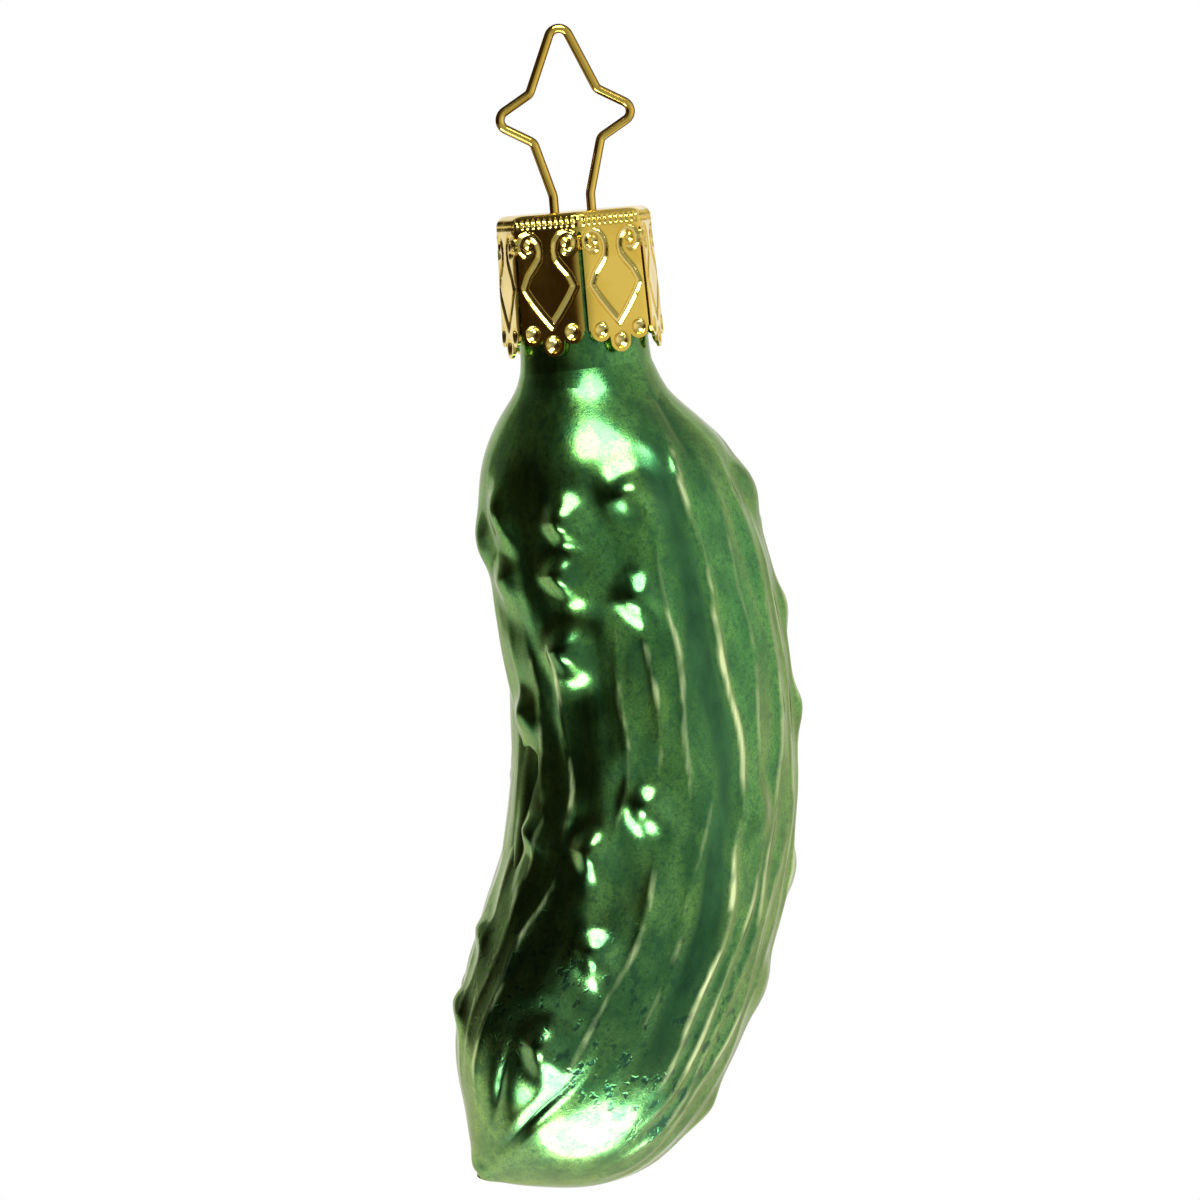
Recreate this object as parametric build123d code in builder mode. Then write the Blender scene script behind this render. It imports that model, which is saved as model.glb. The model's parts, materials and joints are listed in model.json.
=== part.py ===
"""A hanging glass pickle: a hollow blown body with a neck, a stamped cap and a sprung wire hanger.

Millimetres, +Z up. The origin is the hanging point, under the wire at the top of the hanger's loop.
The pickle bends in the XZ plane, and -Y is its front.
"""

from build123d import *
from math import atan2, cos, degrees, exp, hypot, pi, radians, sin
import os

# Hanger: one spring wire, bent to a four-pointed star whose lowest ray is the two legs.
# Heights are above the cap's top, and the star's corners are given as they would be without their bends.
WIRE_DIAMETER = 0.8
STAR_TOP_HEIGHT = 17.1
STAR_MIDDLE_HEIGHT = 8.2
STAR_SIDE_REACH = 6.5
STAR_WAIST_REACH = 2.9
STAR_WAIST_RISE = 2.1
POINT_BEND_RADIUS = 0.9
WAIST_BEND_RADIUS = 0.8
LEG_SPACING = 3.2
LEG_BEND_HEIGHT = 1.4
LEG_BEND_RADIUS = 1.5
LEG_STRAIGHT_DEPTH = 10.0
LEG_FLARE_LENGTH = 6.5

# Cap: thin sheet, flat petals folded down from a flat top, with a three-lobed edge.
# Depths are below the cap's top, measured down a petal's face.
SHEET = 0.25
PETAL_COUNT = 7
PETAL_TURN = -23.0
PETAL_FLARE = 0.35
CAP_CORNER_RADIUS = 2.0
CAP_SHOULDER_RADIUS = 0.9
SLIT_WIDTH = 0.35
SLIT_TOP_DEPTH = 1.8
PETAL_EDGE_DEPTH = 10.2
LOBE_RADIUS = 1.0
LOBE_SPACING = 1.85
LOBE_STEP = 1.0

# Embossing on each petal: two scrolls, lines that narrow to a waist and open to a diamond, three beads
EMBOSS_HEIGHT = 0.15
EMBOSS_LINE = 0.4
SCROLL_RADIUS = 0.6
SCROLL_OFFSET = 1.72
SCROLL_DEPTH = 2.5
WAIST_OFFSET = 0.75
WAIST_DEPTH = 3.8
DIAMOND_OFFSET = 2.35
DIAMOND_DEPTH = 6.2
DIAMOND_POINT_DEPTH = 9.6
BEAD_RADIUS = 0.65
BEAD_SINK = 0.35

# Glass: one blown shell, a straight neck on a body whose axis leans out, then bends back to its tip
NECK_RADIUS = 5.5
NECK_LENGTH = 13.9
NECK_LAP = 1.0
NECK_CREASE = 0.3
WALL = 0.8
BODY_RADIUS = 12.55
BODY_TAPER = 0.85
SHOULDER_LENGTH = 5.0
SHOULDER_POWER = 1.3
NOSE_POWER = 12.0
TIP_RADIUS = 0.8
AXIS_STRAIGHT = 2.8
NECK_BEND_RADIUS = 35.0
AXIS_LEAN = 14.0
UPPER_BEND_RADIUS = 74.0
LOWER_BEND_RADIUS = 50.5
TIP_LEAN = 50.0
WART_RADIUS = 1.6
WART_HEIGHT = 0.6
BODY_SECTIONS = 20

# Fits between the pieces
CAP_NECK_CLEARANCE = 0.55
LEG_HOLE_CLEARANCE = 0.1
LEG_NECK_CLEARANCE = 0.12

# Places of the warts: distance along the body's axis, then the angle round it, 0 at the front and 90 at +X
FRONT_WARTS = (
    (9, -56), (10.5, 10), (11, -84), (11, -21), (13, 82), (15, -64), (15.5, -29), (19, 0),
    (22.5, -33), (22.5, 90), (28.5, -65), (30, 87), (37, -2), (37, 46), (41, -55), (41.5, -24),
    (41.5, 90), (49.5, 80), (50.5, -12), (53.5, -75), (59, 88), (60.5, -15), (62, -77), (66, 35),
)
BACK_WARTS = (
    (9, 130), (10, 228), (11, 176), (15, 245), (16, 108), (17, 202), (20, 150), (24, 228),
    (26, 120), (27, 182), (32, 212), (33, 108), (35, 160), (36, 252), (40, 130), (44, 186),
    (46, 236), (48, 112), (52, 155), (55, 206), (57, 125), (60, 246), (63, 172), (66, 230),
)


def bend_shortfall(bend_radius, half_width, length):
    """How far a bend's middle line stays short of the sharp corner of a ray this wide and this long."""
    return bend_radius * (hypot(half_width, length) / half_width - 1)


# The whole object hangs from the inside of the star's top bend
wire_radius = WIRE_DIAMETER / 2
top_ray = STAR_TOP_HEIGHT - STAR_MIDDLE_HEIGHT - STAR_WAIST_RISE
top_shortfall = bend_shortfall(POINT_BEND_RADIUS, STAR_WAIST_REACH, top_ray)
cap_top = top_shortfall + wire_radius - STAR_TOP_HEIGHT
neck_rim = cap_top - SHEET
neck_bore = NECK_RADIUS - WALL
leg_x = LEG_SPACING / 2
leg_end_x = neck_bore - LEG_NECK_CLEARANCE - wire_radius

# Hanger wire: the corners of its right half, from the leg's end up, then the same on the left
right_corners = [
    (leg_end_x, -LEG_STRAIGHT_DEPTH - LEG_FLARE_LENGTH),
    (leg_x, -LEG_STRAIGHT_DEPTH),
    (leg_x, LEG_BEND_HEIGHT),
    (STAR_WAIST_REACH, STAR_MIDDLE_HEIGHT - STAR_WAIST_RISE),
    (STAR_SIDE_REACH, STAR_MIDDLE_HEIGHT),
    (STAR_WAIST_REACH, STAR_MIDDLE_HEIGHT + STAR_WAIST_RISE),
]
right_bends = [LEG_BEND_RADIUS, LEG_BEND_RADIUS, WAIST_BEND_RADIUS, POINT_BEND_RADIUS, WAIST_BEND_RADIUS]
left_corners = [(-x, height) for x, height in reversed(right_corners)]
corners = right_corners + [(0, STAR_TOP_HEIGHT)] + left_corners
bends = right_bends + [POINT_BEND_RADIUS] + right_bends[::-1]

with BuildPart() as hanger_wire:
    with BuildLine(Plane.XZ) as route:
        FilletPolyline(*[(x, cap_top + height) for x, height in corners], radius=bends)
    with BuildSketch(Plane(route.wire() @ 0, z_dir=route.wire() % 0)):
        Circle(wire_radius)
    sweep()

# Cap: one petal with its share of the top, then copied round
cap_flat = NECK_RADIUS + CAP_NECK_CLEARANCE + SHEET
petal_length = PETAL_EDGE_DEPTH + LOBE_STEP + LOBE_RADIUS
flare_angle = degrees(atan2(PETAL_FLARE, petal_length))
petal_face = Plane((0, -cap_flat, cap_top), x_dir=(1, 0, 0), z_dir=(0, -1, 0)).rotated((-flare_angle, 0, 0))
lobes = [
    (-LOBE_SPACING, -PETAL_EDGE_DEPTH),
    (0, -PETAL_EDGE_DEPTH - LOBE_STEP),
    (LOBE_SPACING, -PETAL_EDGE_DEPTH),
]


def petal_block(inset):
    """The solid inside the cap's outer faces, or inside faces this far in from them."""
    with BuildPart() as block:
        for depth in (inset, petal_length + inset):
            flat = cap_flat + PETAL_FLARE * depth / petal_length - inset
            with BuildSketch(Plane.XY.offset(cap_top - depth)) as outline:
                RegularPolygon(flat, PETAL_COUNT, major_radius=False)
                fillet(outline.vertices(), CAP_CORNER_RADIUS - inset)
        loft(ruled=True)
        fillet(block.edges().group_by(Axis.Z)[-1], CAP_SHOULDER_RADIUS - inset)
    return block.part


with BuildPart() as petal:
    add(petal_block(0))
    add(petal_block(SHEET), mode=Mode.SUBTRACT)
    for side in (-1, 1):
        cut = Plane((0, 0, cap_top), x_dir=(0, 0, -1), z_dir=(-side, 0, 0))
        cut = cut.rotated((0, 0, side * 180 / PETAL_COUNT))
        split(bisect_by=cut, keep=Keep.TOP)
        with BuildSketch(cut):
            with Locations((SLIT_TOP_DEPTH, 0)):
                Rectangle(petal_length, 4 * cap_flat, align=(Align.MIN, Align.CENTER))
        extrude(amount=SLIT_WIDTH / 2, mode=Mode.SUBTRACT)
    with BuildSketch(petal_face):
        with Locations((0, -PETAL_EDGE_DEPTH)):
            Rectangle(2 * cap_flat, petal_length, align=(Align.CENTER, Align.MAX))
            Rectangle(LOBE_SPACING, LOBE_STEP, align=(Align.CENTER, Align.MAX), mode=Mode.SUBTRACT)
        with Locations(*lobes):
            Circle(LOBE_RADIUS, mode=Mode.SUBTRACT)
    extrude(amount=2 * SHEET, both=True, mode=Mode.SUBTRACT)
    with BuildSketch(petal_face.offset(-SHEET / 2)):
        for side in (-1, 1):
            with BuildLine():
                Polyline(
                    (side * SCROLL_OFFSET, -SCROLL_DEPTH),
                    (side * WAIST_OFFSET, -WAIST_DEPTH),
                    (side * DIAMOND_OFFSET, -DIAMOND_DEPTH),
                    (0, -DIAMOND_POINT_DEPTH),
                )
            trace(line_width=EMBOSS_LINE)
            with Locations((side * SCROLL_OFFSET, -SCROLL_DEPTH)):
                Circle(SCROLL_RADIUS)
    extrude(amount=SHEET / 2 + EMBOSS_HEIGHT)
    with Locations(petal_face.offset(-BEAD_SINK)):
        with Locations(*lobes):
            Sphere(BEAD_RADIUS)

with BuildPart() as cap:
    with PolarLocations(0, PETAL_COUNT, start_angle=PETAL_TURN):
        add(petal.part)
    with Locations((-leg_x, 0, cap_top), (leg_x, 0, cap_top)):
        Hole(wire_radius + LEG_HOLE_CLEARANCE, depth=SHEET)

# Glass body: its axis starts at the neck's rim
with BuildLine(Plane.XZ) as spine:
    start = Line((0, neck_rim), (0, neck_rim - NECK_LENGTH - AXIS_STRAIGHT))
    neck_bend = JernArc(start @ 1, start % 1, NECK_BEND_RADIUS, AXIS_LEAN)
    upper_bend = JernArc(neck_bend @ 1, neck_bend % 1, UPPER_BEND_RADIUS, -AXIS_LEAN)
    JernArc(upper_bend @ 1, upper_bend % 1, LOWER_BEND_RADIUS, -TIP_LEAN)
body_axis = spine.wire()
body_length = body_axis.length - NECK_LENGTH
nose_end = body_length - TIP_RADIUS / 2


def section_plane(distance):
    """The plane square to the axis this far past the neck's foot, with local X to the front and Y towards +X."""
    point = body_axis.position_at(NECK_LENGTH + distance, position_mode=PositionMode.LENGTH)
    heading = body_axis.tangent_at(NECK_LENGTH + distance, position_mode=PositionMode.LENGTH)
    return Plane(point, x_dir=(0, -1, 0), z_dir=-heading)


def body_radius(distance):
    """The plain radius this far past the neck's foot: a soft shoulder, a tapered body and a blunt nose."""
    share = max(distance, 0) / body_length
    shoulder = 1 - exp(-((share * body_length / SHOULDER_LENGTH) ** SHOULDER_POWER))
    full_radius = BODY_RADIUS - BODY_TAPER * (1 - share) ** 2
    return (NECK_RADIUS + (full_radius - NECK_RADIUS) * shoulder) * (1 - share**NOSE_POWER)


def wart_centre(distance, angle):
    """The centre of a wart's sphere, set in so that the wart stands out of the plain surface by its height."""
    reach = body_radius(distance) + WART_HEIGHT - WART_RADIUS
    turn = radians(angle)
    return section_plane(distance).from_local_coords((reach * cos(turn), reach * sin(turn)))


# Sections start inside the neck, which the body meets in a crease, and stand closer together towards both ends
sections = [(-NECK_LAP, NECK_RADIUS - NECK_CREASE)]
for step in range(BODY_SECTIONS + 1):
    distance = nose_end * (1 - cos(pi * step / BODY_SECTIONS)) / 2
    sections.append((distance, body_radius(distance)))
neck_depth = NECK_LENGTH + AXIS_STRAIGHT
neck_align = (Align.CENTER, Align.CENTER, Align.MAX)

with BuildPart() as glass_body:
    for distance, radius in sections:
        with BuildSketch(section_plane(distance)):
            Circle(radius)
    loft()
    with Locations((0, 0, neck_rim)):
        Cylinder(NECK_RADIUS, neck_depth, align=neck_align)
    with Locations(section_plane(nose_end)):
        Sphere(TIP_RADIUS)
    with Locations(*[wart_centre(*place) for place in FRONT_WARTS + BACK_WARTS]):
        Sphere(WART_RADIUS)
    for distance, radius in sections:
        if radius > 2 * WALL:
            with BuildSketch(section_plane(distance)):
                Circle(radius - WALL)
    loft(mode=Mode.SUBTRACT)
    with Locations((0, 0, neck_rim)):
        Cylinder(neck_bore, neck_depth, align=neck_align, mode=Mode.SUBTRACT)

os.makedirs("parts", exist_ok=True)
hanger_wire.part.label = "hanger_wire"
export_step(hanger_wire.part, "parts/hanger_wire.step")
cap.part.label = "cap"
export_step(cap.part, "parts/cap.step")
glass_body.part.label = "glass_body"
export_step(glass_body.part, "parts/glass_body.step")
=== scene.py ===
import json
from math import copysign, cos, exp, pi, radians, sin, sqrt, tan
import bpy
import numpy as np
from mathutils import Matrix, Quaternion, Vector, kdtree, noise

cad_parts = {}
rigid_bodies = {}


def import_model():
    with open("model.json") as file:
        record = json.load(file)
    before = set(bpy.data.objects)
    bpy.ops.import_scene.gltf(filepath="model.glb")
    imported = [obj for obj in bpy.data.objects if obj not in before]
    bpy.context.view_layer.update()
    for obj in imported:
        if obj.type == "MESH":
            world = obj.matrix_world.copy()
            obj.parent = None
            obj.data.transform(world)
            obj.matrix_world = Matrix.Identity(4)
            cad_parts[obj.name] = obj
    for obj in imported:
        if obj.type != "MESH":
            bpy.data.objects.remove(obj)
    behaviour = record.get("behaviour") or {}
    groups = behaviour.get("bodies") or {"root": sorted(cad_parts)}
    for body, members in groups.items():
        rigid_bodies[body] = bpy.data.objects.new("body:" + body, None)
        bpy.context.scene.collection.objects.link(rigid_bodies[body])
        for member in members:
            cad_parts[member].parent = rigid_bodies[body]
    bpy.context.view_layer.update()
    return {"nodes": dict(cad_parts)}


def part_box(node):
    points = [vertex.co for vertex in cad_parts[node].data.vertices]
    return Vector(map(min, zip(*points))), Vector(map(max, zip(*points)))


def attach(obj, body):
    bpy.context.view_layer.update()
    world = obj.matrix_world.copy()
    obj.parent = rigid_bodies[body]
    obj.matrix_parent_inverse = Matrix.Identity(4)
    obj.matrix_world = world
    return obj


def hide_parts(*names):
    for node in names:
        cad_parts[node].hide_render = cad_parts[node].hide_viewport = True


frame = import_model()
scene = bpy.context.scene
scene.view_settings.view_transform = "Standard"


# Glass body: one hollow pickle, blown into a ribbed and warty mould together with its open neck.
# The glass is silvered inside and brushed outside with translucent green lacquer, which is thin on
# the ribs and lets the silver through there. The neck's rim is hidden under the cap.
MM = 0.001
NECK_RADIUS = 5.5 * MM
NECK_LENGTH = 13.9 * MM
WALL = 0.8 * MM
BODY_RADIUS = 12.55 * MM
BODY_TAPER = 0.85 * MM
SHOULDER_LENGTH = 5.0 * MM
SHOULDER_POWER = 1.3
NOSE_POWER = 12.0
NIB_RADIUS = 1.7 * MM
NIB_LENGTH = 1.7 * MM
NIB_SET = 1.0 * MM
FOOT_SOFTNESS = 0.7 * MM
AXIS_STRAIGHT = 2.8 * MM
AXIS_BENDS = ((35.0 * MM, radians(14)), (74.0 * MM, radians(-14)), (50.5 * MM, radians(-50)))
BODY_LENGTH = AXIS_STRAIGHT + sum(radius * abs(turn) for radius, turn in AXIS_BENDS)
neck_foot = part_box("glass_body")[1].z - NECK_LENGTH


def axis_place(distance):
    """Where the body's axis is, this far past the neck's foot: across, height, and its lean towards +X."""
    across, height, lean = 0.0, neck_foot - min(distance, AXIS_STRAIGHT), 0.0
    left = distance - AXIS_STRAIGHT
    for radius, turn in AXIS_BENDS:
        way = copysign(1, turn)
        to = lean + way * max(0.0, min(left / radius, abs(turn)))
        across += way * radius * (cos(lean) - cos(to))
        height -= way * radius * (sin(to) - sin(lean))
        left -= radius * abs(turn)
        lean = to
    past = max(0.0, left)
    return across + past * sin(lean), height - past * cos(lean), lean


def skin_radius(distance):
    """The plain radius this far past the neck's foot: neck, shoulder, tapered body, blunt nose and nib."""
    share = max(distance, 0.0) / BODY_LENGTH
    into = distance - FOOT_SOFTNESS / 2
    eased = (into + sqrt(into**2 + 4 * FOOT_SOFTNESS**2)) / 2
    shoulder = 1 - exp(-((eased / SHOULDER_LENGTH) ** SHOULDER_POWER))
    full = BODY_RADIUS - BODY_TAPER * (1 - share) ** 2
    plain = (NECK_RADIUS + (full - NECK_RADIUS) * shoulder) * max(1 - share**NOSE_POWER, 0.0)
    past_nib = (distance - BODY_LENGTH + NIB_SET) / NIB_LENGTH
    return sqrt(plain**2 + NIB_RADIUS**2 * max(1 - past_nib**2, 0.0))


# The gather starts as a small disc at the nib, and is drawn out ring by ring to the rim and down the inside.
# The places of the odd rings are in mm.
NIB_RINGS = (0.66, 0.55, 0.2, -0.4, -1.0)
NECK_RINGS = (2.2, 3.6, 7.0, 13.3, 13.8)
BORE_RINGS = (13.8, 12.0, 2.0)
INSIDE_RINGS = (4, 10, 30, 50, 64, 69)
BODY_RINGS = 61
NECK_LAP = 1.0 * MM
RIM_ROUNDING = 0.12 * MM
RING_SIDES = 76
nib = [(BODY_LENGTH + step * MM, skin_radius(BODY_LENGTH + step * MM)) for step in NIB_RINGS]
even = np.linspace(BODY_LENGTH - NIB_LENGTH, -NECK_LAP, BODY_RINGS)
outside = nib + [(distance, skin_radius(distance)) for distance in even]
neck = [(-height * MM, skin_radius(-height * MM)) for height in NECK_RINGS]
rim = [(-NECK_LENGTH, NECK_RADIUS - RIM_ROUNDING), (-NECK_LENGTH, NECK_RADIUS - WALL + RIM_ROUNDING)]
bore = [(-height * MM, NECK_RADIUS - WALL) for height in BORE_RINGS]
inside = [(distance * MM, skin_radius(distance * MM) - WALL) for distance in INSIDE_RINGS]
rings = outside + neck + rim + bore + inside

bpy.ops.object.select_all(action="DESELECT")
across, height, lean = axis_place(rings[0][0])
bpy.ops.mesh.primitive_circle_add(vertices=RING_SIDES, radius=rings[0][1], fill_type="NGON",
                                  location=(across, 0, height), rotation=(0, -lean, 0))
glass = bpy.context.object
glass.name = glass.data.name = "pickle_glass"
bpy.ops.object.transform_apply(location=True, rotation=True, scale=True)
bpy.ops.object.mode_set(mode="EDIT")
bpy.ops.mesh.select_mode(type="FACE")
bpy.ops.mesh.select_all(action="SELECT")
for (distance, radius), (next_distance, next_radius) in zip(rings, rings[1:]):
    across, height, lean = axis_place(distance)
    next_across, next_height, next_lean = axis_place(next_distance)
    centre = (next_across, 0, next_height)
    step = (next_across - across, 0, next_height - height)
    bpy.ops.mesh.extrude_region_move(TRANSFORM_OT_translate={"value": step})
    if next_lean != lean:
        bpy.ops.transform.rotate(value=next_lean - lean, orient_axis="Y", center_override=centre)
    growth = next_radius / radius
    bpy.ops.transform.resize(value=(growth, growth, growth), center_override=centre)
bpy.ops.mesh.select_all(action="SELECT")
bpy.ops.mesh.normals_make_consistent(inside=False)
bpy.ops.object.mode_set(mode="OBJECT")


def apply_modifier(piece, kind, **settings):
    """Adds one modifier to a piece with these settings and applies it."""
    bpy.context.view_layer.objects.active = piece
    modifier = piece.modifiers.new(kind.lower(), kind)
    for name, value in settings.items():
        setattr(modifier, name, value)
    bpy.ops.object.modifier_apply(modifier=modifier.name)


apply_modifier(glass, "SUBSURF", levels=2, render_levels=2)

# Every point of the skin gets its distance along the body and its angle round it, 0 in front and 90 at +X
AXIS_STATIONS = 900
RELIEF_TOP = 0.9 * NECK_LENGTH
stations = np.linspace(-NECK_LENGTH, BODY_LENGTH + NIB_LENGTH, AXIS_STATIONS)
places = [axis_place(distance) for distance in stations]
axis_points = kdtree.KDTree(len(places))
for index, (across, height, lean) in enumerate(places):
    axis_points.insert((across, 0, height), index)
axis_points.balance()
points = np.empty(len(glass.data.vertices) * 3)
glass.data.vertices.foreach_get("co", points)
points = points.reshape(-1, 3)
nearest = np.array([axis_points.find((x, 0, z))[1] for x, y, z in points])
across, height, lean = np.array(places)[nearest].T
side = (points[:, 0] - across) * np.cos(lean) + (points[:, 2] - height) * np.sin(lean)
along = stations[nearest] + (points[:, 0] - across) * np.sin(lean) - (points[:, 2] - height) * np.cos(lean)
angle = np.degrees(np.arctan2(side, -points[:, 1]))
girth = np.hypot(side, points[:, 1])
plain = np.array([skin_radius(distance) for distance in along])
outer = (girth > plain - WALL / 2) & (along > -RELIEF_TOP)


def degrees_from(turn):
    """How far round from an angle each point of the skin is, between -180 and 180 degrees."""
    return (angle - turn + 180) % 360 - 180


def mm_from(turn):
    """The same way round, measured along the skin in mm."""
    return degrees_from(turn) * pi / 180 * girth / MM


# Ribs: height, then the widths of the flanks on both sides, in mm, and a line of mm along and degrees round
# the skin. One below zero is a groove, with painted shade along its line. A rib whose first flank is over
# WIDE_FLANK has a band of painted shade beside it.
RIBS = (
    (0.50, 2.8, 0.7, ((5, 38), (14, 32), (21, 31), (28, 31), (33, 35), (37, 38), (40, 35),
                      (51, 36), (60, 37))),
    (0.38, 1.2, 0.7, ((39, 49), (44, 48), (51, 45), (56, 44), (63, 47))),
    (0.28, 1.0, 0.7, ((36, 68), (41, 65), (46, 61), (50, 62), (58, 60), (68, 62))),
    (0.30, 1.0, 1.0, ((40, 5), (44, 3), (51, 1), (55, 0), (62, -3))),
    (0.34, 1.2, 1.2, ((42, -36), (48, -40), (54, -46), (59, -48), (66, -48), (70, -44))),
    (0.22, 1.6, 1.4, ((18, -55), (28, -53), (38, -50), (46, -52), (60, -58), (69, -60))),
    (0.36, 1.8, 1.6, ((20, -42), (28, -39), (36, -36), (43, -38))),
    (0.34, 1.8, 1.5, ((20, -11), (28, -12), (36, -12), (42, -15))),
    (0.30, 1.4, 1.4, ((18, 2), (28, 1), (35, 2))),
    (0.34, 2.0, 1.6, ((12, 15), (18, 13), (28, 11), (38, 15))),
    (0.18, 0.8, 0.8, ((33, 22), (42, 20), (50, 17), (58, 20))),
    (0.30, 0.9, 0.9, ((8, 66), (18, 61), (25, 62), (36, 58), (45, 54), (55, 53), (66, 55))),
    (0.24, 0.9, 0.8, ((14, 72), (25, 70), (36, 72), (48, 72), (60, 70), (69, 74))),
    (0.16, 1.2, 0.9, ((12, 52), (20, 47), (30, 46), (35, 48))),
    (0.30, 0.9, 0.9, ((6, 92), (20, 84), (36, 83), (52, 84), (68, 86))),
    (0.16, 1.2, 1.2, ((12, -84), (30, -78), (46, -82), (60, -80), (70, -78))),
    (0.18, 1.0, 1.0, ((14, -66), (28, -66), (42, -68), (56, -70), (70, -70))),
    (0.28, 0.9, 0.8, ((5, 108), (25, 103), (45, 105), (68, 106))),
    (0.40, 2.2, 0.7, ((3, 128), (20, 124), (40, 127), (64, 122))),
    (0.22, 1.2, 1.2, ((12, 143), (30, 146), (52, 142), (69, 146))),
    (0.44, 0.7, 2.4, ((3, 164), (20, 160), (41, 163), (66, 160))),
    (0.24, 1.4, 1.4, ((22, 178), (40, 175), (58, 180))),
    (0.40, 2.0, 0.7, ((4, 195), (25, 192), (48, 196), (68, 192))),
    (0.24, 1.2, 1.2, ((10, 214), (31, 210), (50, 213), (69, 210))),
    (0.38, 0.7, 1.8, ((3, 233), (22, 229), (44, 232), (67, 230))),
    (0.22, 1.0, 1.0, ((8, 250), (30, 247), (50, 251), (69, 248))),
    (-0.45, 0.8, 0.6, ((59, 3), (63, 1), (67, -2), (71, -4))),
    (-0.30, 0.9, 0.9, ((61, -30), (66, -28), (70, -24))),
    (-0.30, 1.2, 1.2, ((0, 58), (6, 46), (12, 42))),
)
WANDER = 1.3
WANDER_PACE = 0.45
WANDER_SHIFT = 1.7
SWELL = 0.2
SWELL_PACE = 0.31
SWELL_SHIFT = 2.3
RUN_IN = 5.0
RUN_OUT = 4.0
CREST_SHARE = 0.4
CREST_WIDTH = 0.38
LINE_WIDTH = 0.28
FULL_LINE = 0.4
WIDE_FLANK = 2.0
BAND_OFF = 1.8
BAND_WIDTH = 1.15
GROOVE_WIDTH = 0.9
relief, rib_line, rib_shade = np.zeros((3, len(points)))
for number, (tall, before, after, rib) in enumerate(RIBS):
    distances, turns = zip(*rib)
    line = np.interp(along / MM, distances, turns)
    line = line + WANDER * np.sin(along / MM * WANDER_PACE + number * WANDER_SHIFT)
    off = mm_from(line)
    ends = np.clip((along / MM - distances[0]) / RUN_IN, 0, 1)
    ends = ends * np.clip((distances[-1] - along / MM) / RUN_OUT, 0, 1)
    ends = tall * ends * (1 - SWELL + SWELL * np.sin(along / MM * SWELL_PACE + number * SWELL_SHIFT))
    flank = np.exp(-((off / np.where(off < 0, before, after)) ** 2))
    crest = np.exp(-((off / CREST_WIDTH) ** 2))
    relief += ends * (CREST_SHARE * crest + (1 - CREST_SHARE) * flank)
    rib_line = np.maximum(rib_line, ends / FULL_LINE * np.exp(-((off / LINE_WIDTH) ** 2)))
    # Painted shade: a dark band beside each wide rib and along each groove, kept for the lacquer's colour
    shaded = before > WIDE_FLANK or tall < 0
    shade_off, shade_width = (off + BAND_OFF, BAND_WIDTH) if tall > 0 else (off, GROOVE_WIDTH)
    rib_shade = np.maximum(rib_shade, abs(ends) * shaded * np.exp(-((shade_off / shade_width) ** 2)))

# Warts: mm along and degrees round the skin. Each is a dome in a shallow hollow, longer and leaning aside at
# its lower end, and all of it shallower beside the mould's two seams. No two have quite the same size.
WARTS = (
    (9, -56), (10.5, 10), (11, -84), (11, -21), (13, 82), (15, -64), (15.5, -29), (19, 0),
    (22.5, -33), (22.5, 90), (28.5, -65), (30, 87), (37, -2), (37, 46), (41, -55), (41.5, -24),
    (41.5, 90), (49.5, 80), (50.5, -12), (53.5, -75), (59, 88), (60.5, -15), (62, -77),
    (9, 130), (10, 228), (11, 176), (15, 245), (16, 108), (17, 202), (20, 150), (24, 228),
    (26, 120), (27, 182), (32, 212), (33, 108), (35, 160), (36, 252), (40, 130), (44, 186),
    (46, 236), (48, 112), (52, 155), (55, 206), (57, 125), (60, 246), (63, 172), (66, 230),
)
WART_HEIGHT = 1.05
WART_RADIUS = 1.55
WART_POWER = 2.3
WART_LEAN = 0.3
LEAST_WIDE = 0.9
LEAST_TALL = 0.8
SIZE_RANGE = 0.2
WIDE_STEP = 0.37
TALL_STEP = 0.61
LOWER_STRETCH = 0.75
HOLLOW_DEPTH = 0.14
HOLLOW_RADIUS = 3.1
HOLLOW_WIDTH = 1.4
SEAM_SHARE = 0.62
wart = np.zeros(len(points))
for number, (distance, turn) in enumerate(WARTS):
    below = along / MM - distance
    aside = mm_from(turn) - WART_LEAN * np.clip(below, 0, None)
    wide = LEAST_WIDE + SIZE_RANGE * (number * WIDE_STEP % 1)
    tall = LEAST_TALL + SIZE_RANGE * (number * TALL_STEP % 1)
    reach = np.hypot(np.where(below < 0, 1.0, LOWER_STRETCH) * below, aside) / wide
    dome = WART_HEIGHT * np.exp(-((reach / WART_RADIUS) ** WART_POWER))
    dome -= HOLLOW_DEPTH * np.exp(-(((reach - HOLLOW_RADIUS) / HOLLOW_WIDTH) ** 2))
    wart += dome * tall * (SEAM_SHARE + (1 - SEAM_SHARE) * cos(radians(turn)) ** 2)

# Slow dents of hand-blown glass, longer along the body than round it, and a fuller belly beside the nose
DENT = 0.32
DENT_SCALES = (2.6, 0.085)
FINE_DENT_SHARE = 0.5
FINE_DENT_SCALES = (6.0, 0.16, 7.0)
DENTS_START = (5.0, 9.0)
DENTS_END = (64.0, 8.0)
BELLY_HEIGHT = 1.0
BELLY_PLACE = (65, 85)
BELLY_SPREAD = (8, 48)


def wave(degrees, distance, round_scale, along_scale, start=0.0):
    """Smooth noise on the skin, at one scale round it and another along it."""
    x, y = cos(radians(degrees)), sin(radians(degrees))
    return noise.noise((round_scale * x, round_scale * y, start + distance / MM * along_scale))


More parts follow.
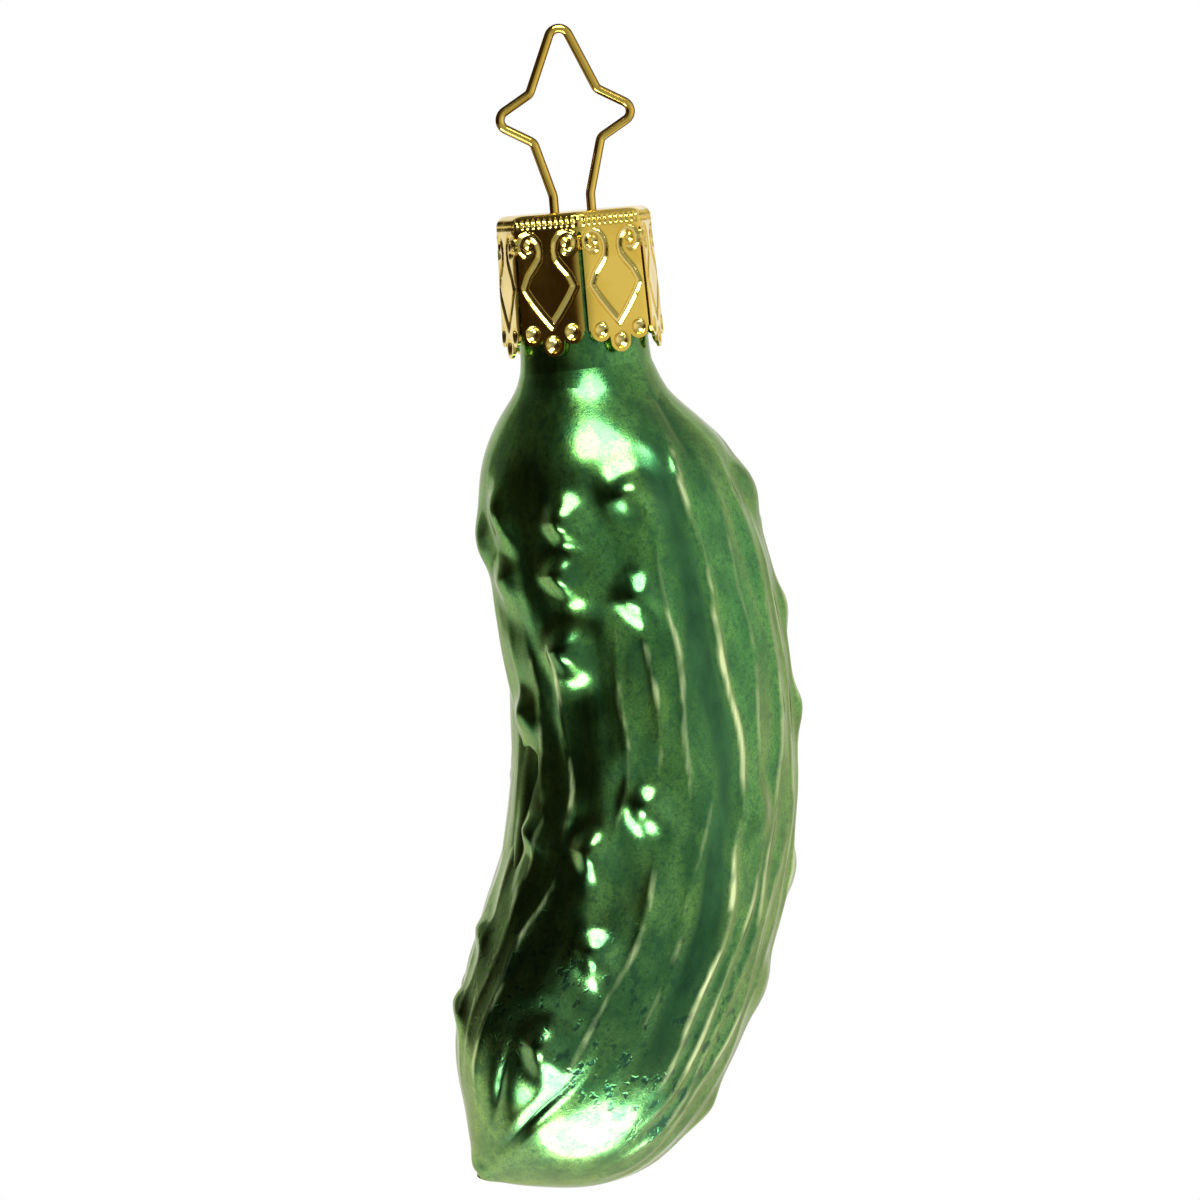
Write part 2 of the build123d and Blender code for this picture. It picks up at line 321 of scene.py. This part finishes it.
fade = np.clip((along / MM - DENTS_START[0]) / DENTS_START[1], 0, 1)
fade = fade * np.clip((DENTS_END[0] - along / MM) / DENTS_END[1], 0, 1)
dent = np.array([
    wave(degrees, distance, *DENT_SCALES) + FINE_DENT_SHARE * wave(degrees, distance, *FINE_DENT_SCALES)
    for degrees, distance in zip(angle, along)
])
belly_along = (along / MM - BELLY_PLACE[0]) / BELLY_SPREAD[0]
belly_round = degrees_from(BELLY_PLACE[1]) / BELLY_SPREAD[1]
belly = BELLY_HEIGHT * np.exp(-(belly_along**2) - belly_round**2)


def press(piece, name, heights):
    """Moves a piece's skin along its normals by these heights: where it rises, then where it sinks."""
    for way in (1, -1):
        most = max((way * heights).max(), 1e-9)
        group = piece.vertex_groups.new(name=name)
        for index in np.nonzero(way * heights > 0.001 * most)[0]:
            group.add([int(index)], float(way * heights[index] / most), "REPLACE")
        apply_modifier(piece, "DISPLACE", vertex_group=name, strength=way * most, mid_level=0.0)
        piece.vertex_groups.clear()


press(glass, "mould", (relief + wart + DENT * dent * fade + belly) * outer * MM)


def note(piece, name, kind, values):
    """Keeps one value per point on a piece, for its material to read."""
    field = piece.data.attributes.new(name, kind, "POINT")
    member = "vector" if kind == "FLOAT_VECTOR" else "value"
    field.data.foreach_set(member, np.ravel(values).astype(np.float32))


turned = np.radians(angle)
straightened = np.stack([girth * np.cos(turned), girth * np.sin(turned), along], axis=1) / MM
note(glass, "straightened", "FLOAT_VECTOR", straightened)
note(glass, "rib_shade", "FLOAT", rib_shade)
note(glass, "rib_line", "FLOAT", rib_line)
bpy.ops.object.select_all(action="DESELECT")
glass.select_set(True)
bpy.ops.object.shade_smooth()


class Shade:
    """A socket among a material's nodes, so that shader maths is written as plain expressions."""

    def __init__(self, tree, socket=None):
        self.tree, self.socket = tree, socket

    def node(self, kind, settings, inputs, output=0):
        """Adds a node: its settings come first, then the values or links of its sockets."""
        made = self.tree.nodes.new(kind)
        for name, value in settings.items():
            if name == "stops":
                ramp = made.color_ramp.elements
                for index, (place, colour) in enumerate(value):
                    stop = ramp[index] if index < 2 else ramp.new(place)
                    stop.position, stop.color = place, (*colour, 1)
            else:
                setattr(made, name, value)
        for name, value in inputs.items():
            if isinstance(value, Shade):
                self.tree.links.new(value.socket, made.inputs[name])
            else:
                made.inputs[name].default_value = value
        return Shade(self.tree, made.outputs[output] if len(made.outputs) else None)

    def math(self, operation, first, second=0.0):
        return self.node("ShaderNodeMath", {"operation": operation}, {0: first, 1: second})

    def __add__(self, other):
        return self.math("ADD", self, other)

    def __radd__(self, other):
        return self.math("ADD", other, self)

    def __sub__(self, other):
        return self.math("SUBTRACT", self, other)

    def __rsub__(self, other):
        return self.math("SUBTRACT", other, self)

    def __mul__(self, other):
        return self.math("MULTIPLY", self, other)

    def __rmul__(self, other):
        return self.math("MULTIPLY", other, self)

    def clamp(self, low, high):
        """This value stretched so that low becomes 0 and high becomes 1, with both ends held."""
        return self.node("ShaderNodeMapRange", {}, {"Value": self, "From Min": low, "From Max": high})

    def mix(self, first, second):
        """One colour turning into another as this value goes from 0 to 1."""
        return self.node("ShaderNodeMix", {"data_type": "RGBA"}, {0: self, 6: first, 7: second}, 2)

    def noise(self, scale, detail=2.0, stretch=(1, 1, 1)):
        """Noise over this vector, with each axis stretched first."""
        place = self.node("ShaderNodeVectorMath", {"operation": "MULTIPLY"}, {0: self, 1: stretch})
        return self.node("ShaderNodeTexNoise", {}, {"Vector": place, "Scale": scale, "Detail": detail})


def new_material(piece, name):
    """Gives a piece an empty material, and returns the material's nodes to build on."""
    material = bpy.data.materials.new(name)
    material.use_nodes = True
    material.node_tree.nodes.clear()
    piece.data.materials.clear()
    piece.data.materials.append(material)
    return Shade(material.node_tree)


def surface(shade, shader):
    """Makes a shader the material's surface."""
    shade.node("ShaderNodeOutputMaterial", {}, {"Surface": shader})


# Lacquer: green in deep and light clouds with lengthwise brush streaks, paler with wear towards the tip,
# dark teal in the pits, with painted shade beside the widest ribs and in the grooves, a painted reflection
# that turns it olive where it is seen edge on, and pale where it is thin on the ribs
DEEP_GREEN = (0.075, 0.340, 0.085, 1)
LEAF_GREEN = (0.170, 0.470, 0.090, 1)
WORN_GREEN = (0.320, 0.520, 0.150, 1)
BRUSHED_GREEN = (0.230, 0.560, 0.170, 1)
PITTED_TEAL = (0.035, 0.240, 0.110, 1)
BAND_GREEN = (0.010, 0.085, 0.038, 1)
MOTTLE_GREEN = (0.048, 0.215, 0.070, 1)
GRAIN_GREEN = (0.040, 0.160, 0.055, 1)
SPECK_GREEN = (0.030, 0.150, 0.060, 1)
PIT_TEAL = (0.020, 0.110, 0.060, 1)
EDGE_OLIVE = (0.430, 0.480, 0.220, 1)
THIN_GREEN = (0.820, 0.950, 0.500, 1)
GLANCING_TINT = (0.50, 0.55, 0.34, 1)
shade = new_material(glass, "green_lacquer_on_silvered_glass")
skin = shade.node("ShaderNodeAttribute", {"attribute_name": "straightened"}, {}, 1)
rib_line = shade.node("ShaderNodeAttribute", {"attribute_name": "rib_line"}, {}, 2)
rib_shade = shade.node("ShaderNodeAttribute", {"attribute_name": "rib_shade"}, {}, 2)
clouds = skin.noise(0.17, 3.0, (1, 1, 0.5)).clamp(0.36, 0.64)
streaks = skin.noise(0.8, 3.0, (1, 1, 0.08)).clamp(0.3, 0.7)
mottle = skin.noise(0.55, 5.0, (1, 1, 0.6)).clamp(0.42, 0.62)
grain = skin.noise(5.5, 2.0)
patches = skin.noise(0.5, 2.0, (1, 1, 0.4)).clamp(0.44, 0.58)
thin = (rib_line * (0.25 + 0.75 * patches)).clamp(0.10, 0.85)
lengthwise = shade.node("ShaderNodeSeparateXYZ", {}, {0: skin}, 2)
worn = lengthwise.clamp(22, 64) * 0.55
pitted = lengthwise.clamp(44, 54) * (1 - lengthwise.clamp(61, 65))
pits = skin.noise(1.1, 2.0, (1, 1, 0.8)).clamp(0.57, 0.64) * pitted
specks = skin.noise(2.1, 3.0).clamp(0.52, 0.66)
colour = clouds.mix(DEEP_GREEN, LEAF_GREEN)
colour = worn.mix(colour, WORN_GREEN)
colour = (streaks * 0.35).mix(colour, BRUSHED_GREEN)
colour = (pitted * 0.35).mix(colour, PITTED_TEAL)
# Painted shade: darker beside the widest ribs and along the grooves
colour = (rib_shade.clamp(0.03, 0.32) * 0.95).mix(colour, BAND_GREEN)
colour = (mottle * 0.80).mix(colour, MOTTLE_GREEN)
colour = (grain.clamp(0.35, 0.65) * 0.52).mix(colour, GRAIN_GREEN)
colour = (specks * 0.58).mix(colour, SPECK_GREEN)
colour = (pits * 0.85).mix(colour, PIT_TEAL)
# Painted reflection: olive where the lacquer is seen edge on, more so further down the body
edge_on = shade.node("ShaderNodeLayerWeight", {}, {"Blend": 0.5}, 1).clamp(0.32, 0.90)
colour = (edge_on * (0.35 + 0.35 * lengthwise.clamp(5, 35))).mix(colour, EDGE_OLIVE)
colour = (thin * 0.9).mix(colour, THIN_GREEN)
roughness = 0.13 + 0.07 * streaks + 0.08 * grain
height = streaks * 0.35 + grain * 0.65 - pits * 2.5
bump = shade.node("ShaderNodeBump", {}, {"Strength": 0.14, "Distance": 0.08 * MM, "Height": height})
surface(shade, shade.node("ShaderNodeBsdfPrincipled", {}, {
    "Base Color": colour, "Metallic": 1 - thin * 0.55, "Roughness": roughness, "Normal": bump,
    "Specular Tint": GLANCING_TINT, "Coat Weight": 0.5, "Coat Roughness": 0.08,
}))
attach(glass, "glass")
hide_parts("glass_body")


# Cap: one stamping of thin gold-coloured sheet, flat on top, with petals folded down around the neck.
# Each petal is embossed with two scrolls, a waisted frame that opens to a diamond and three beads.
# A double row of tiny beads runs round the shoulder, and each petal ends in three lobes. Sizes are in mm.
SHEET = 0.25
PETALS = 7
FIRST_PETAL = radians(-23)
CAP_FLAT = 6.3
CAP_CORNER = 2.0
CAP_SHOULDER = 0.9
CAP_FLARE = 0.35
CAP_DEPTH = 12.2
SLIT = 0.35
SLIT_TOP = 1.8
LOBES = ((-1.85, 10.2), (0.0, 11.2), (1.85, 10.2))
LOBE_RADIUS = 1.0
LOBE_START = 8.9
LEG_SPACING = 3.2
LEG_HOLE = 0.5
HOLE_SIDES = 24
PUNCH_DEPTH = 6 * SHEET
WELD = 0.01
SMOOTH_UNDER = radians(50)
GRID_ACROSS = 58
GRID_DOWN = 100
cap_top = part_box("cap")[1].z
half_turn = pi / PETALS
petal_half = (CAP_FLAT - CAP_CORNER) * tan(half_turn) + CAP_CORNER * half_turn
shoulder_run = CAP_SHOULDER * pi / 2

bpy.ops.object.select_all(action="DESELECT")
bpy.ops.mesh.primitive_grid_add(x_subdivisions=GRID_ACROSS, y_subdivisions=GRID_DOWN, size=2)
cap = bpy.context.object
cap.name = cap.data.name = "petal_cap"
blank = np.empty(len(cap.data.vertices) * 3)
cap.data.vertices.foreach_get("co", blank)
blank = blank.reshape(-1, 3)
share_across, share_down = blank[:, 0], (1 - blank[:, 1]) / 2

# The blank runs from the cap's centre over the shoulder and down to the lobes. Each fold is placed by its
# share of the blank's rows.
TOP_END = 0.05
SHOULDER_END = 0.19
FACE_END = 0.79
edge = np.full(len(blank), LOBES[0][1])
for lobe_across, lobe_depth in LOBES:
    off = share_across * petal_half - lobe_across
    rounded = lobe_depth + np.sqrt(np.clip(LOBE_RADIUS**2 - off**2, 0, None))
    edge = np.where(abs(off) < LOBE_RADIUS, np.maximum(edge, rounded), edge)
on_top = np.clip(share_down / TOP_END, 0, 1)
on_shoulder = np.clip((share_down - TOP_END) / (SHOULDER_END - TOP_END), 0, 1)
on_face = np.clip((share_down - SHOULDER_END) / (FACE_END - SHOULDER_END), 0, 1)
on_lobes = np.clip((share_down - FACE_END) / (1 - FACE_END), 0, 1)
bend = on_shoulder * pi / 2
past_shoulder = on_face * (LOBE_START - CAP_SHOULDER) + on_lobes * (edge - LOBE_START)
depth = CAP_SHOULDER * (1 - np.cos(bend)) + past_shoulder
run = on_shoulder * shoulder_run + past_shoulder
inset = CAP_SHOULDER * (1 - np.sin(bend))
flat = CAP_FLAT + CAP_FLARE * depth / CAP_DEPTH - inset
corner = CAP_CORNER - inset
straight = (flat - corner) * tan(half_turn)
cut = np.where(depth > SLIT_TOP, SLIT / 2, 0.0)
width = straight + corner * half_turn - cut
place_across = share_across * width
arc = np.clip((abs(place_across) - straight) / corner, 0, half_turn)
x = np.sign(place_across) * (np.minimum(abs(place_across), straight) + corner * np.sin(arc))
y = -(flat - corner + corner * np.cos(arc))
scale = np.where(share_down < TOP_END, on_top, 1.0)
folded = np.stack([x * scale * MM, y * scale * MM, cap_top - depth * MM], axis=1)
cap.data.vertices.foreach_set("co", folded.ravel())
cap.data.update()

# Embossing, drawn on the petal as it lies flat: across and down from the top, for the right-hand half.
# Each ridge or bead has a height and a half width.
FRAME_LINE = ((0.0, 9.6), (0.8, 8.6), (1.6, 7.5), (2.35, 6.3), (1.85, 5.25), (1.15, 4.4), (0.78, 3.85))
SCROLL_LINE = ((0.78, 3.85), (0.66, 3.2), (0.78, 2.5), (1.15, 1.95), (1.72, 1.72), (2.3, 1.92),
               (2.62, 2.45), (2.5, 3.05), (2.05, 3.4), (1.6, 3.3))
SCROLL_DOT = (1.72, 2.55)
FRAME_RIDGE = (0.27, 0.31)
SCROLL_RIDGE = (0.26, 0.28)
DOT_BEAD = (0.28, 0.38)
LOBE_BEAD = (0.42, 0.66)
RIM_BEAD = (0.19, 0.24)
RIM_ROWS = (1.10, 1.57)
RIM_PITCH = 0.52
RIM_COLUMNS = 5
RIDGE_POWER = 1.3
FAR_OFF = 9.0


def nearness(line):
    """How far each point of the petal is from a line drawn on it, on either half."""
    best = np.full(len(place_across), FAR_OFF)
    for (x0, d0), (x1, d1) in zip(line, line[1:]):
        ex, ed = x1 - x0, d1 - d0
        share = np.clip(((abs(place_across) - x0) * ex + (depth - d0) * ed) / (ex * ex + ed * ed), 0, 1)
        best = np.minimum(best, np.hypot(abs(place_across) - x0 - share * ex, depth - d0 - share * ed))
    return best


def ridge(off, shape):
    """A rounded ridge or bead, as high as its shape says at its middle and nothing at its half width."""
    height, half_width = shape
    return height * np.sqrt(np.clip(1 - (off / half_width) ** 2, 0, 1)) ** RIDGE_POWER


raised = ridge(nearness(FRAME_LINE), FRAME_RIDGE)
raised = np.maximum(raised, ridge(nearness(SCROLL_LINE), SCROLL_RIDGE))
dot_off = np.hypot(abs(place_across) - SCROLL_DOT[0], depth - SCROLL_DOT[1])
raised = np.maximum(raised, ridge(dot_off, DOT_BEAD))
for lobe_across, lobe_depth in LOBES:
    off = np.hypot(place_across - lobe_across, depth - lobe_depth)
    raised = np.maximum(raised, ridge(off, LOBE_BEAD))
column = np.clip(np.round(place_across / RIM_PITCH), -RIM_COLUMNS, RIM_COLUMNS) * RIM_PITCH
for row in RIM_ROWS:
    raised = np.maximum(raised, ridge(np.hypot(place_across - column, run - row), RIM_BEAD))
raised = raised * (share_down > TOP_END)
press(cap, "raised", -raised * MM)
note(cap, "raised", "FLOAT", raised / LOBE_BEAD[0])

for number in range(1, PETALS):
    copy = cap.copy()
    copy.data = cap.data.copy()
    scene.collection.objects.link(copy)
    copy.rotation_euler = (0, 0, FIRST_PETAL + number * 2 * half_turn)
cap.rotation_euler = (0, 0, FIRST_PETAL)
bpy.ops.object.select_all(action="DESELECT")
for piece in [piece for piece in scene.objects if piece.name.startswith("petal_cap")]:
    piece.select_set(True)
bpy.context.view_layer.objects.active = cap
bpy.ops.object.transform_apply(location=True, rotation=True, scale=True)
bpy.ops.object.join()
bpy.ops.object.mode_set(mode="EDIT")
bpy.ops.mesh.select_all(action="SELECT")
bpy.ops.mesh.remove_doubles(threshold=WELD * MM)
bpy.ops.mesh.normals_make_consistent(inside=False)
bpy.ops.object.mode_set(mode="OBJECT")
apply_modifier(cap, "SOLIDIFY", thickness=SHEET * MM, offset=-1)
for hole_across in (-LEG_SPACING / 2, LEG_SPACING / 2):
    bpy.ops.object.select_all(action="DESELECT")
    bpy.ops.mesh.primitive_cylinder_add(vertices=HOLE_SIDES, radius=LEG_HOLE * MM, depth=PUNCH_DEPTH * MM,
                                        location=(hole_across * MM, 0, cap_top))
    punch = bpy.context.object
    apply_modifier(cap, "BOOLEAN", operation="DIFFERENCE", solver="EXACT", object=punch)
    bpy.data.objects.remove(punch)
bpy.ops.object.select_all(action="DESELECT")
cap.select_set(True)
bpy.ops.object.shade_smooth_by_angle(angle=SMOOTH_UNDER)

# Gold sheet: warm and bright on what stands out as a painted highlight, browner in patches of tarnish
SHEET_GOLD = (0.830, 0.630, 0.130, 1)
DULL_GOLD = (0.720, 0.500, 0.075, 1)
RAISED_GOLD = (0.950, 0.800, 0.330, 1)
shade = new_material(cap, "gold_sheet")
place = shade.node("ShaderNodeTexCoord", {}, {}, 3)
raised_part = shade.node("ShaderNodeAttribute", {"attribute_name": "raised"}, {}, 2)
tarnish = place.noise(260.0, 3.0).clamp(0.4, 0.68)
scuffs = place.noise(2600.0, 2.0, (1, 1, 0.25))
colour = tarnish.mix(SHEET_GOLD, DULL_GOLD)
# Painted highlight: lighter gold on the raised embossing
colour = (raised_part.clamp(0.1, 0.5) * 0.6).mix(colour, RAISED_GOLD)
roughness = 0.09 + 0.09 * tarnish + 0.07 * scuffs
bump = shade.node("ShaderNodeBump", {}, {"Strength": 0.06, "Distance": 0.03 * MM, "Height": scuffs})
surface(shade, shade.node("ShaderNodeBsdfPrincipled", {}, {
    "Base Color": colour, "Metallic": 1.0, "Roughness": roughness, "Normal": bump,
}))
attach(cap, "cap")
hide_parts("cap")


# Hanger: one gold-finished spring wire, bent to a star-shaped loop, whose two legs go down through the
# cap's holes and spread inside the neck. Its bends and its round section are the frame's own, and its
# sides are painted dark, a painted reflection as on a thin polished wire before a pale ground.
WIRE_GOLD = (1.000, 0.710, 0.150, 1)
WIRE_DULL = (0.820, 0.530, 0.080, 1)
WIRE_SIDE = (0.060, 0.034, 0.008, 1)
WIRE_TINT = (0.30, 0.22, 0.10, 1)
hanger = frame["nodes"]["hanger_wire"]
shade = new_material(hanger, "gold_wire")
place = shade.node("ShaderNodeTexCoord", {}, {}, 3)
drawn = place.noise(900.0, 2.0, (1, 1, 0.2))
tarnish = place.noise(240.0, 2.0).clamp(0.4, 0.7)
colour = tarnish.mix(WIRE_GOLD, WIRE_DULL)
# Painted reflection: the wire's sides darken where they are seen edge on
edge_on = shade.node("ShaderNodeLayerWeight", {}, {"Blend": 0.5}, 1).clamp(0.15, 0.52)
colour = (edge_on * 0.92).mix(colour, WIRE_SIDE)
roughness = 0.07 + 0.06 * drawn
bump = shade.node("ShaderNodeBump", {}, {"Strength": 0.02, "Distance": 0.02 * MM, "Height": drawn})
surface(shade, shade.node("ShaderNodeBsdfPrincipled", {}, {
    "Base Color": colour, "Metallic": 1.0, "Roughness": roughness, "Normal": bump,
    "Specular Tint": WIRE_TINT,
}))


# Studio: the ornament hangs over a pale round floor, in a room that only reflections and light see. A dark
# curtain is to the left of the camera and a pale wall to its right. One soft box is above, and two low lights
# are below, in front and to the left.
FLOOR_HEIGHT = -0.36
FLOOR_RADIUS = 0.24
bpy.ops.object.select_all(action="DESELECT")
bpy.ops.mesh.primitive_circle_add(vertices=96, radius=FLOOR_RADIUS, fill_type="NGON",
                                  location=(0, 0, FLOOR_HEIGHT))
floor = bpy.context.object
floor.name = "floor"
shade = new_material(floor, "pale_floor")
place = shade.node("ShaderNodeTexCoord", {}, {}, 3)
from_middle = shade.node("ShaderNodeVectorMath", {"operation": "LENGTH"}, {0: place}, 1)
seen_white = from_middle.clamp(0.2 * FLOOR_RADIUS, 0.9 * FLOOR_RADIUS)
matt = shade.node("ShaderNodeBsdfDiffuse", {}, {"Color": (0.86, 0.86, 0.86, 1)})
white = shade.node("ShaderNodeEmission", {}, {"Color": (1, 1, 1, 1), "Strength": 1.0})
surface(shade, shade.node("ShaderNodeMixShader", {}, {0: seen_white, 1: matt, 2: white}))

ROOM_RADIUS = 0.85
ROOM_HEIGHT = -0.06
ROOM_BACK = 0.72 * ROOM_RADIUS
bpy.ops.mesh.primitive_uv_sphere_add(segments=96, ring_count=48, radius=ROOM_RADIUS,
                                     location=(0, 0, ROOM_HEIGHT))
room = bpy.context.object
room.name = "studio_room"
bpy.ops.object.transform_apply(location=True, rotation=True, scale=True)
bpy.ops.object.mode_set(mode="EDIT")
bpy.ops.mesh.select_all(action="SELECT")
bpy.ops.mesh.bisect(plane_co=(0, ROOM_BACK, 0), plane_no=(0, 1, 0), clear_outer=True)
bpy.ops.object.mode_set(mode="OBJECT")
room.visible_camera = False
shade = new_material(room, "dark_room_with_pale_side")
place = shade.node("ShaderNodeTexCoord", {}, {}, 3)
split = shade.node("ShaderNodeSeparateXYZ", {}, {0: place}).socket.node.outputs
right, behind, up = (Shade(shade.tree, split[axis]) for axis in ("X", "Y", "Z"))
bearing = shade.math("ARCTAN2", right, 0 - behind) * (0.5 / pi) + 0.5
low = up.clamp(-0.10, -0.20)
curtain_edge = 0.085 * low * bearing.clamp(0.24, 0.34) * (1 - bearing.clamp(0.42, 0.52))
curtain_edge = curtain_edge - 0.05 * up.clamp(0.0, 0.40)
tone = shade.node("ShaderNodeValToRGB", {"stops": (
    (0.09, (0.31, 0.32, 0.28)), (0.94, (0.95, 0.90, 0.82)),
    (0.145, (0.21, 0.21, 0.18)), (0.185, (0.10, 0.065, 0.045)), (0.220, (0.034, 0.016, 0.009)),
    (0.37, (0.022, 0.012, 0.007)), (0.395, (0.06, 0.035, 0.022)), (0.425, (0.17, 0.15, 0.12)),
    (0.45, (0.30, 0.29, 0.25)), (0.50, (0.34, 0.36, 0.31)), (0.56, (0.50, 0.52, 0.47)),
    (0.66, (0.82, 0.78, 0.69)), (0.80, (0.92, 0.84, 0.74)),
)}, {0: bearing + curtain_edge})
tone = (low * (1 - bearing.clamp(0.20, 0.255))).mix(tone, (1.0, 0.98, 0.84, 1))
low_right = up.clamp(-0.28, -0.42) * bearing.clamp(0.44, 0.50) * (1 - bearing.clamp(0.62, 0.76))
tone = (low_right * 0.8).mix(tone, (0.30, 0.31, 0.28, 1))
ceiling = bearing.clamp(0.35, 0.60).mix((0.055, 0.048, 0.036, 1), (0.36, 0.36, 0.33, 1))
tone = (up.clamp(0.15, 0.50) * 0.85).mix(tone, ceiling)
surface(shade, shade.node("ShaderNodeEmission", {}, {"Color": tone, "Strength": 1.0}))


def soft_box(name, place, aim, size, watts):
    """A plain oval area lamp at a place, turned to what it is aimed at."""
    lamp = bpy.data.lights.new(name, "AREA")
    lamp.shape, lamp.size, lamp.size_y, lamp.energy = "ELLIPSE", size[0], size[1], watts
    box = bpy.data.objects.new(name, lamp)
    scene.collection.objects.link(box)
    box.location = place
    box.rotation_euler = (Vector(aim) - Vector(place)).to_track_quat("-Z", "Y").to_euler()
    box.visible_camera = False


soft_box("soft_box_above", (0.020, -0.335, 0.426), (0, 0, -0.035), (0.44, 0.38), 3.4)
soft_box("low_light", (-0.03, -0.10, FLOOR_HEIGHT + 0.01), (-0.03, -0.099, 0), (0.32, 0.22), 1.5)
soft_box("low_light_left", (-0.310, -0.289, -0.335), (0, 0, -0.07), (0.29, 0.17), 1.2)

world = scene.world or bpy.data.worlds.new("studio")
scene.world = world
world.use_nodes = True
world.node_tree.nodes.clear()
shade = Shade(world.node_tree)
path = shade.tree.nodes.new("ShaderNodeLightPath").outputs
seen = Shade(shade.tree, path["Is Camera Ray"]) + Shade(shade.tree, path["Is Glossy Ray"])
seen = seen + Shade(shade.tree, path["Is Transmission Ray"])
soft = shade.node("ShaderNodeBackground", {}, {"Color": (0.62, 0.62, 0.62, 1), "Strength": 1.0})
white = shade.node("ShaderNodeBackground", {}, {"Color": (1, 1, 1, 1), "Strength": 1.0})
mixed = shade.node("ShaderNodeMixShader", {}, {0: seen, 1: soft, 2: white})
shade.node("ShaderNodeOutputWorld", {}, {"Surface": mixed})


# Camera: a long lens a little above the ornament, rolled because the ornament leans in the picture.
LENS = 200.0
SENSOR = 36.0
PICTURE_WIDTH = 103.7 * MM
AIM_ASIDE = -0.5 * MM
AIM_BELOW_CAP = 33.65 * MM
AIM = Vector((AIM_ASIDE, 0, cap_top - AIM_BELOW_CAP))
ELEVATION = radians(4.0)
ROLL = radians(-4.8)
lens = bpy.data.cameras.new("camera")
lens.lens, lens.sensor_width = LENS, SENSOR
camera = bpy.data.objects.new("camera", lens)
scene.collection.objects.link(camera)
back = Vector((0, -cos(ELEVATION), sin(ELEVATION)))
camera.location = AIM + back * (PICTURE_WIDTH * LENS / SENSOR)
camera.rotation_mode = "QUATERNION"
camera.rotation_quaternion = (-back).to_track_quat("-Z", "Y") @ Quaternion((0, 0, 1), ROLL)
lens.clip_start, lens.clip_end = 0.01, 20.0
scene.camera = camera
